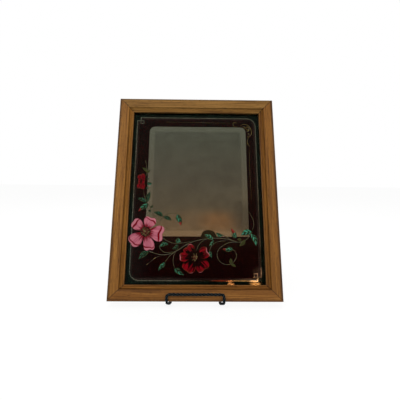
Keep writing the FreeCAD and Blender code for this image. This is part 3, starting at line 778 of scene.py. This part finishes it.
# base, tip, width in millimetres, bend, tint (0 plain olive, then dark green, over 1 bright teal)
leafPlan = [
    ((-82.7, 37.9), (-90.3, 45.6), 4.6, 0.10, 0.03), ((-82.7, 35.0), (-76.4, 42.0), 4.0, -0.10, 0.03),
    ((-81.6, 18.5), (-72.8, 17.5), 5.4, 0.10, 0.6), ((-81.0, 24.0), (-79.2, 27.6), 3.0, 0.0, 0.5),
    ((-81.4, 11.5), (-79.4, 7.6), 3.0, 0.0, 0.5), ((-80.2, -14.7), (-75.3, 3.5), 7.4, -0.06, 0.16),
    ((-81.3, -14.7), (-96.2, -7.9), 6.2, 0.08, 0.35), ((-73.1, -24.4), (-70.2, -19.4), 3.0, 0.0, 0.16),
    ((-77.3, -27.8), (-72.6, -29.8), 3.4, 0.10, 0.14),
    ((-53.3, -38.3), (-68.5, -31.5), 7.0, 0.10, 0.24), ((-52.2, -39.5), (-39.0, -45.0), 6.6, -0.10, 0.24),
    ((-43.9, -83.5), (-56.4, -88.4), 6.6, 0.20, 0.85), ((-30.4, -81.5), (-27.4, -73.3), 8.0, 0.14, 0.7),
    ((-27.6, -83.4), (-37.2, -91.3), 6.2, -0.16, 0.14), ((-74.0, -96.0), (-88.8, -107.4), 8.4, 0.12, 0.3),
    ((-74.0, -95.5), (-86.0, -96.5), 5.0, -0.10, 0.25), ((27.6, -76.2), (13.7, -68.0), 7.4, 0.08, 0.9),
    ((28.4, -77.0), (21.2, -86.3), 5.6, -0.12, 0.8), ((32.5, -64.9), (44.8, -68.6), 5.8, 0.16, 0.8),
    ((90.7, -63.2), (72.5, -68.4), 9.6, 0.12, 1.6), ((89.0, -65.9), (96.4, -85.5), 8.0, -0.10, 1.5),
    ((78.9, -75.8), (69.6, -86.0), 6.0, -0.08, 0.02), ((54.5, -114.1), (54.6, -105.1), 4.6, 0.12, 0.0),
    ((55.2, -114.8), (63.3, -118.7), 4.2, -0.08, 0.03), ((73.5, -76.5), (66.0, -75.5), 4.4, 0.1, 0.02),
]
# base, tip, width, bend, how much of the tip is red
budPlan = [
    ((-78.1, -17.1), (-93.1, -30.1), 6.8, 0.05, 0.30), ((-30.1, -35.3), (-23.5, -53.5), 7.4, -0.04, 0.34),
    ((-48.2, -113.0), (-57.4, -124.8), 5.8, 0.05, 0.0), ((-32.9, -121.6), (-17.6, -131.7), 6.2, 0.05, 0.0),
    ((64.2, -73.5), (56.4, -56.9), 5.6, 0.04, 0.52), ((59.0, -91.5), (42.9, -90.8), 6.2, -0.06, 0.32),
    ((21.8, -94.3), (25.8, -104.7), 4.6, 0.04, 0.0),
]
leafInk = {
    "dark": "#0d2016", "olive": "#303219", "teal": "#174030", "bright": "#44987a", "outline": "#3c3a1e",
    "ribs": 3.0, "slant": -0.34, "wave": 0.30, "breaks": 2.6, "faint": 0.35, "tinted": (0.04, 0.12),
    "stroke": (0.54, 0.72), "brightHalf": (0.0, 0.55), "rim": (0.74, 0.90), "vein": (0.05, 0.16),
}
# The two sepals of a bud, as shares of its length and width
sepal = {"along": 0.55, "aside": 0.208, "width": 0.34, "bend": 0.1, "tint": 0.45, "lift": 0.02}
budInk = {"tip": "#5c0a12", "tipLight": "#96242e", "tint": 0.8, "ragged": 0.12, "tipEnds": (1.06, 1.10)}


def paintedLeaf(name, bud):
    # Hand cut stencil look: one half bright, the other dark with bright strokes, and a thin outline
    material, add = startFinish(name)
    along, centred, aside, seed, tint = bladePlace(add)
    slanted = add("Math", [aside, leafInk["slant"], along], operation="MULTIPLY_ADD")
    phase = add("Math", [slanted, leafInk["ribs"] * math.tau, seed], operation="MULTIPLY_ADD")
    wave = add("Math", [phase], operation="SINE")
    broken = add("TexNoise", {
        "Vector": add("CombineXYZ", {"X": centred, "Y": along, "Z": seed}),
        "Scale": leafInk["breaks"], "Detail": 2.0,
    })
    stroke = add("Math", [wave, leafInk["wave"], broken], operation="MULTIPLY_ADD")
    uneven = add("Math", [wave, leafInk["wave"], centred], operation="MULTIPLY_ADD")
    strokeMask, brightHalf, rim, tinted = (
        add("MapRange", [source, *leafInk[ends]]) for source, ends in (
            (stroke, "stroke"), (uneven, "brightHalf"), (aside, "rim"), (tint, "tinted"),
        ))
    vein = add("MapRange", [aside, *leafInk["vein"], 0.8, 0.0])
    green = add("Mix", {
        0: 1.0 if bud else tinted, 6: leafInk["olive"], 7: leafInk["dark"],
    }, data_type="RGBA")
    lit = add("Mix", {0: strokeMask, 6: leafInk["teal"], 7: leafInk["bright"]}, data_type="RGBA")
    faint = add("Math", [strokeMask, leafInk["faint"]], operation="MULTIPLY")
    shown = add("Math", [brightHalf, faint], operation="MAXIMUM")
    amount = add("Math", [shown, budInk["tint"] if bud else tint], operation="MULTIPLY")
    layers = [(amount, lit)]
    if bud:
        ragged = add("Math", [broken, budInk["ragged"], along], operation="MULTIPLY_ADD")
        past = add("Math", [ragged, tint], operation="ADD")
        tipMask = add("MapRange", [past, *budInk["tipEnds"]])
        tip = add("Mix", {0: brightHalf, 6: budInk["tip"], 7: budInk["tipLight"]}, data_type="RGBA")
        layers.append((tipMask, tip))
    drawnLines = add("Math", [vein, rim], operation="MAXIMUM")
    paintBlade(add, green, layers + [(drawnLines, leafInk["outline"])])
    return material


leafSheets = [{
    "rows": bladeRows(base, tip, width, bend, 0.85), "tint": tint, "seed": index * 1.37,
    "depth": layerDepth["leaf"] + 0.0008 * index,
} for index, (base, tip, width, bend, tint) in enumerate(leafPlan)]
budSheets = []
for index, (base, tip, width, bend, red) in enumerate(budPlan):
    run = Vector(tip) - Vector(base)
    aside = Vector((run.y, -run.x)) * sepal["aside"]
    budSheets.append({
        "rows": bladeRows(base, tip, width, bend, 0.8), "tint": red, "seed": index * 2.1,
        "depth": layerDepth["bud"] + 0.001 * index,
    })
    for side in (-1, 1):
        sepalTip = Vector(base) + run * sepal["along"] + aside * side
        leafSheets.append({
            "rows": bladeRows(base, sepalTip, width * sepal["width"], sepal["bend"] * side, 0.8),
            "tint": sepal["tint"], "seed": index + side, "depth": layerDepth["leaf"] + sepal["lift"],
        })
printSheets("printedLeaves", leafSheets, paintedLeaf("tealLeafInk", False))
printSheets("printedBuds", budSheets, paintedLeaf("redTippedBudInk", True))


def petalRows(centre, aim, start, reach, width, droop, notch, seed):
    # A fan shaped petal: narrow at the heart, round at its two corners, dented between them
    along = Vector((math.cos(aim), math.sin(aim), 0))
    aside = Vector((along.y, -along.x, 0))
    profile = ((0.0, 0.30), (0.18, 0.50), (0.40, 0.75), (0.62, 0.94), (0.80, 1.0), (1.0, 0.92))
    shares, sizes = zip(*profile)
    middle = Vector((*centre, 0))
    rows = []
    for step in range(inkGrid["petalSteps"] + 1):
        share = step / inkGrid["petalSteps"]
        half = width / 2 * float(np.interp(share, shares, sizes))
        row = []
        for column in range(2 * inkGrid["petalSide"] + 1):
            side = math.sin(math.pi / 2 * (column / inkGrid["petalSide"] - 1))
            ripple = 0.025 * math.sin(3.4 * side + seed) - notch * math.exp(-(side / 0.34) ** 2)
            edge = reach * (1 - droop * (0.35 * side ** 2 + 0.65 * abs(side) ** 7) + ripple)
            distance = start + (edge - start) * share
            row.append(middle + along * distance + aside * (side * half))
        rows.append(row)
    return rows


# The dark back of one leaf stands up into the window, behind the others
backLeaf = {"centre": (20.8, -77.0), "aim": 92.0, "reach": 16.4, "width": 26.0}
backRows = petalRows(
    backLeaf["centre"], math.radians(backLeaf["aim"]), 0.5, backLeaf["reach"], backLeaf["width"],
    0.5, 0.0, 2.0)
printSheets("printedBackLeaf", [
    {"rows": backRows, "depth": layerDepth["backLeaf"]},
], lineInk("shadedLeafInk", "#171108", "#251c0c", 7.0))
print("leaves and buds")

# Petals: aim in degrees, reach and width in millimetres
pinkRose = {
    "centre": (-80.4, -63.6), "start": 5.0, "heart": 8.2,
    "petals": [(69, 25.4, 20.0), (140, 27.0, 18.5), (220, 30.5, 22.5), (286, 31.5, 17.5), (-8, 29.5, 26.0)],
}
redRose = {
    "centre": (-1.0, -104.3), "start": 2.5, "heart": 4.4,
    "petals": [(127, 22.4, 18.5), (178, 24.8, 14.5), (238, 26.0, 21.5), (311, 25.8, 22.0), (27, 23.4, 19.0)],
}
smallRose = {
    "petals": [
        ((-92.8, 21.5), 99, 12.0, 7.5), ((-92.8, 20.5), 261, 12.0, 7.5), ((-89.3, 20.5), 86, 14.6, 8.5),
        ((-89.3, 21.5), 274, 14.6, 8.5), ((-93.5, 21.0), 0, 8.6, 12.0), ((-90.0, 21.0), 180, 6.4, 10.5),
    ],
}
# Petal inks: colours, the size of the streaks and how far they run out, how the turned lip swings and
# where it starts, how dark its line is, and where the drawn rim starts at the sides and how dark it is
# at the end
pinkInk = {
    "under": "#9f5062", "over": "#ba6c7a", "heart": "#680516", "lip": "#b46c78", "line": "#6c0417",
    "streak": (8.0, 0.6), "push": -1.25, "heartEnds": (-0.36, -0.22), "swing": 0.08, "lipShift": 0.07,
    "lipEnds": (0.90, 0.93), "lineDark": 1.0, "rimEnds": (0.93, 0.985), "rimDark": 0.35,
}
redInk = {
    "under": "#40030a", "over": "#7e0614", "heart": "#120303", "lip": "#c06676", "line": "#3a2a16",
    "streak": (4.5, 0.7), "push": -1.8, "heartEnds": (-0.30, -0.22), "swing": 0.07, "lipShift": -0.05,
    "lipEnds": (0.93, 0.96), "lineDark": 0.35, "rimEnds": (0.84, 0.94), "rimDark": 0.85,
}
# How fast the lip swings across a petal, where its drawn line lies, and where the line and the rim end
petalLip = {"turns": 2.1, "lineAt": 0.88, "lineEnds": (0.034, 0.060), "rimAt": (0.955, 0.98)}


def petalFinish(name, ink):
    # Stencilled petal: streaks from the heart, a dark drawn line near the lip, a pale turned edge
    material, add = startFinish(name)
    along, centred, aside, seed, shift = bladePlace(add)
    stretched = add("Mapping", {
        "Vector": add("CombineXYZ", {"X": centred, "Y": along, "Z": seed}), "Scale": (*ink["streak"], 1.0),
    })
    streaks = add("TexNoise", {"Vector": stretched, "Scale": 1.0, "Detail": 3.0})
    cloud = add("TexNoise", {"Vector": stretched, "Scale": 1.3, "Detail": 2.0})
    # Streaks of the heart's colour run out along the petal, less far on the small rose
    pushed = add("Math", [streaks, ink["push"], along], operation="MULTIPLY_ADD")
    reach = add("Math", [pushed, shift], operation="ADD")
    # The turned edge bows with the petal and swings to one side, and its line swells at one end
    swing = add("Math", [centred, petalLip["turns"], seed], operation="MULTIPLY_ADD")
    swung = add("Math", [swing], operation="SINE")
    bowed = add("Math", [swung, ink["swing"], along], operation="MULTIPLY_ADD")
    edgeLevel = add("Math", [bowed, ink["lipShift"]], operation="ADD")
    offLine = add("Math", [edgeLevel, petalLip["lineAt"]], operation="SUBTRACT")
    lineSize = add("Math", [offLine], operation="ABSOLUTE")
    swell = add("MapRange", [swung, -0.6, 1.0, 1.3, 0.6])
    lineShare = add("Math", [lineSize, swell], operation="MULTIPLY")
    heart, body, pastEdge, lipShare, line, rimSide, rimEnd = (add("MapRange", ends) for ends in (
        (reach, *ink["heartEnds"], 1.0, 0.0), (cloud, 0.38, 0.62), (edgeLevel, *ink["lipEnds"]),
        (shift, 0.0, 0.1, 1.0, 0.15), (lineShare, *petalLip["lineEnds"], ink["lineDark"], 0.0),
        (aside, *ink["rimEnds"], 0.0, 0.85), (along, *petalLip["rimAt"], 0.0, ink["rimDark"]),
    ))
    lip = add("Math", [pastEdge, lipShare], operation="MULTIPLY")
    rim = add("Math", [rimSide, rimEnd], operation="MAXIMUM")
    drawnLines = add("Math", [line, rim], operation="MAXIMUM")
    paintBlade(add, ink["under"], [
        (body, ink["over"]), (heart, ink["heart"]), (lip, ink["lip"]), (drawnLines, ink["line"]),
    ])
    return material


def roseSheets(rose):
    return [{
        "rows": petalRows(rose["centre"], math.radians(aim), rose["start"], reach, width, 0.13, 0.06, index),
        "depth": layerDepth["petal"] + 0.006 * index, "seed": 1.9 * index,
    } for index, (aim, reach, width) in enumerate(rose["petals"])]


printSheets("pinkRosePetals", roseSheets(pinkRose), petalFinish("pinkPetalInk", pinkInk), [
    "flower_print",
])
redSheets = roseSheets(redRose) + [{
    "rows": petalRows(centre, math.radians(aim), 1.0, reach, width, 0.35, 0.04, index),
    "depth": layerDepth["petal"] + 0.005 * index, "seed": 0.7 + 1.3 * index, "tint": 0.24,
} for index, (centre, aim, reach, width) in enumerate(smallRose["petals"])]
printSheets("redRosePetals", redSheets, petalFinish("redPetalInk", redInk))

# Hearts: a speckled disc under a ring of stamens that a tree scatters
heartInk = {"dark": "#200d0b", "olive": "#403e24", "red": "#560e16", "light": "#70704e", "speck": 2.0}
heartFinish, add = startFinish("speckledHeartInk")
where = add("SeparateXYZ", [add("TexCoord").outputs["UV"]])
place = leanedCoordinates(add)
specks = add("TexNoise", {"Vector": place, "Scale": 1 / (heartInk["speck"] * mm), "Detail": 2.0})
tone = add("ValToRGB", [specks], stops=[
    (0.36, heartInk["dark"]), (0.50, heartInk["red"]), (0.58, heartInk["olive"]),
    (0.72, heartInk["light"]),
])
ring = add("ValToRGB", [where.outputs["Y"]], stops=[
    (0.0, 1.2), (0.18, 1.0), (0.34, 0.6), (0.44, 1.0), (0.64, 0.85), (0.80, 0.50), (1.0, 0.30),
])
shaded = add("Mix", {0: 1.0, 6: tone, 7: ring}, data_type="RGBA", blend_type="MULTIPLY")
endFinish(add, {"Base Color": shaded, **polished})


def discRows(centre, radius):
    rows = []
    for ringShare in (0.0, 0.3, 0.55, 0.8, 1.0):
        row = []
        for step in range(inkGrid["discSteps"] + 1):
            turn = -math.tau * step / inkGrid["discSteps"]
            size = radius * ringShare * (1 + 0.05 * math.sin(7 * turn))
            row.append(Vector((centre[0] + size * math.cos(turn), centre[1] + size * math.sin(turn), 0)))
        rows.append(row)
    return rows


printSheets("roseHearts", [
    {"rows": discRows(rose["centre"], rose["heart"]), "depth": layerDepth["heart"]}
    for rose in (pinkRose, redRose)
], heartFinish)

stamenLook = {"seed": 4, "density": 0.20, "dot": 0.5, "spread": ((pinkRose, 0.72), (redRose, 1.3))}
stamenTree, add, given = newTree("scatteredStamens", {
    "Seed": whole, "Density": number, "Dot": number, "Film": number,
})
spots = add("DistributePointsOnFaces", {
    "Mesh": given["Geometry"], "Density": given["Density"], "Seed": given["Seed"],
})
dotSize = add("FunctionNodeRandomValue", {2: 0.6, 3: 1.3, "Seed": given["Seed"]})
dot = add("MeshCylinder", {"Vertices": 7, "Radius": given["Dot"], "Depth": given["Film"]})
endTree(add, add("InstanceOnPoints", {
    "Points": spots, "Instance": dot.outputs["Mesh"], "Scale": dotSize,
}), given)
stamens = gridPiece("roseStamens", [
    {"rows": discRows(rose["centre"], rose["heart"] * share), "depth": layerDepth["stamen"]}
    for rose, share in stamenLook["spread"]
], heartFinish)
stamens.modifiers.clear()
runTree(stamens, stamenTree, {
    "Seed": stamenLook["seed"], "Density": stamenLook["density"], "Dot": stamenLook["dot"],
    "Film": inkThickness, "Finish": lineInk("paleStamenInk", "#4a4426", "#80794c", 3.0),
})
settle(stamens, printPlace, "mirror")
print("roses")

# Stage: white floor and surround, soft area lamps, and a dim wall that only reflections see
stageLook = {
    "ambient": 0.58, "floorGlow": 0.86, "floorWhite": 1.045, "floorSize": 6.0,
    "key": {"place": (-0.9, -1.3, 1.6), "size": 0.7, "power": 13.0},
    "fill": {"place": (1.1, -1.2, 1.0), "size": 0.9, "power": 7.0},
    "back": {"place": (0.0, 1.1, 1.8), "size": 1.0, "power": 9.0},
    "wallDistance": 1.5, "wallHalf": 1.1, "wallLow": 0.25, "wallHigh": 2.75, "wallGlow": 1.0,
    "aim": (0, 0, 0.17),
}
world = bpy.data.worlds.new("softStudio")
bpy.context.scene.world = world
world.use_nodes = True
world.node_tree.nodes.clear()


def seenDirectly(add):
    # 1 for what the camera sees, also in a gloss or through glass
    path = add("LightPath")
    seen = add("Math", [path.outputs["Is Camera Ray"], path.outputs["Is Glossy Ray"]], operation="MAXIMUM")
    return add("Math", [seen, path.outputs["Is Transmission Ray"]], operation="MAXIMUM")


add = functools.partial(addNode, world.node_tree, "ShaderNode")
soft, white = (add("Background", ["#ffffff", strength]) for strength in (stageLook["ambient"], 1.0))
add("OutputWorld", [add("MixShader", [seenDirectly(add), soft, white])])


def plate(name, corners, material):
    data = bpy.data.meshes.new(name)
    data.from_pydata(corners, [], [(0, 1, 2, 3)])
    data.materials.append(material)
    piece = addObject(name, data)
    return piece


material, add = startFinish("paperWhiteFloor")
glow = add("Math", [seenDirectly(add), stageLook["floorGlow"]], operation="MULTIPLY")
matt = add("BsdfDiffuse", {"Color": "#f4f4f2"})
bright = add("Emission", ["#ffffff", stageLook["floorWhite"]])
add("OutputMaterial", [add("MixShader", [glow, matt, bright])])
size = stageLook["floorSize"]
plate("floor", [(-size, -size, 0), (size, -size, 0), (size, size, 0), (-size, size, 0)], material)

# The far side of a dim room, a glowing wall that paints the mirror's reflection: grey above, warm
# brown below, with glowing patches for a lamp low down. Each patch is a painted reflection placed to
# show at one spot on the mirror, the silver line or the glass. Its tones go from the wall's foot to its
# top. Each patch has its place and its reach across and up in metres, its tone, its gain, over 1 where
# it is brighter than paper, and how strong it is in its middle.
roomLook = {
    "tones": [
        (0.60, "#1e150d"), (0.88, "#3c2c20"), (0.97, "#705a48"), (1.15, "#665949"), (1.45, "#5c554a"),
        (1.85, "#59594f"), (2.20, "#5f6057"),
    ],
    "patches": [
        ((0.05, 1.02), (0.42, 0.20), "#84684e", 1.0, 0.7),
        ((0.155, 1.085), (0.16, 0.10), "#8c6240", 1.0, 0.65),
        ((0.40, 1.10), (0.20, 0.20), "#4c4237", 1.0, 0.95),
        ((-0.41, 0.90), (0.18, 0.50), "#5a5f58", 1.0, 0.95),
        ((-0.200, 0.681), (0.220, 0.030), "#6a665c", 1.0, 0.9),
        ((0.211, 0.657), (0.024, 0.016), "#ffa058", 14.0, 1.0),
        ((0.352, 0.660), (0.038, 0.016), "#ffa858", 15.0, 1.0),
        ((0.165, 0.681), (0.080, 0.012), "#d04a2c", 0.9, 0.8),
        ((0.280, 0.682), (0.080, 0.011), "#e0a868", 1.2, 0.9),
        ((0.352, 0.683), (0.040, 0.011), "#fff0d0", 1.7, 1.0),
        ((0.330, 0.689), (0.080, 0.005), "#ffb070", 1.6, 1.0),
        ((0.375, 0.733), (0.042, 0.038), "#c89474", 1.0, 0.9),
    ],
    "fades": [("X", 0.6, 1.1), ("X", -0.6, -1.1), ("Z", 2.2, 2.75), ("Z", 0.55, 0.25)],
}
material, add = startFinish("dimRoom")
where = add("SeparateXYZ", [add("TexCoord").outputs["Object"]])
low, high = stageLook["wallLow"], stageLook["wallHigh"]
upShare = add("MapRange", [where.outputs["Z"], low, high])
shade = add("ValToRGB", [upShare], stops=[
    ((level - low) / (high - low), tone) for level, tone in roomLook["tones"]
])
for place, reaches, toneHex, gain, amount in roomLook["patches"]:
    offsets = []
    for axis, middle, reach in zip(("X", "Z"), place, reaches):
        offset = add("Math", [where.outputs[axis], middle], operation="SUBTRACT")
        scaled = add("Math", [offset, reach], operation="DIVIDE")
        offsets.append(add("Math", [scaled, 2.0], operation="POWER"))
    away = add("Math", offsets, operation="ADD")
    share = add("MapRange", [away, 0.0, 1.0, amount, 0.0], interpolation_type="SMOOTHSTEP")
    tone = [part * gain for part in colour(toneHex)[:3]]
    shade = add("Mix", {0: share, 6: shade, 7: (*tone, 1.0)}, data_type="RGBA")
light = add("Emission", [shade, stageLook["wallGlow"]])
edges = [
    add("MapRange", [where.outputs[axis], inner, outer], interpolation_type="SMOOTHSTEP")
    for axis, inner, outer in roomLook["fades"]
]
faded = functools.reduce(
    lambda first, second: add("Math", [first, second], operation="MAXIMUM"), edges)
add("OutputMaterial", [add("MixShader", [faded, light, add("BsdfTransparent")])])
far, half = -stageLook["wallDistance"], stageLook["wallHalf"]
room = plate("dimRoom", [
    (-half, far, low), (half, far, low), (half, far, high), (-half, far, high),
], material)
room.visible_camera = False
room.visible_diffuse = False
room.visible_shadow = False

for lampName in ("key", "fill", "back"):
    lampLook = stageLook[lampName]
    lampData = bpy.data.lights.new(lampName, "AREA")
    lampData.energy = lampLook["power"]
    lampData.size = lampLook["size"]
    lamp = addObject(lampName, lampData)
    lamp.visible_transmission = False
    aim = Vector(stageLook["aim"]) - Vector(lampLook["place"])
    lamp.location = lampLook["place"]
    lamp.rotation_euler = aim.to_track_quat("-Z", "Y").to_euler()
bpy.context.scene.view_settings.view_transform = "Standard"
print("stage")
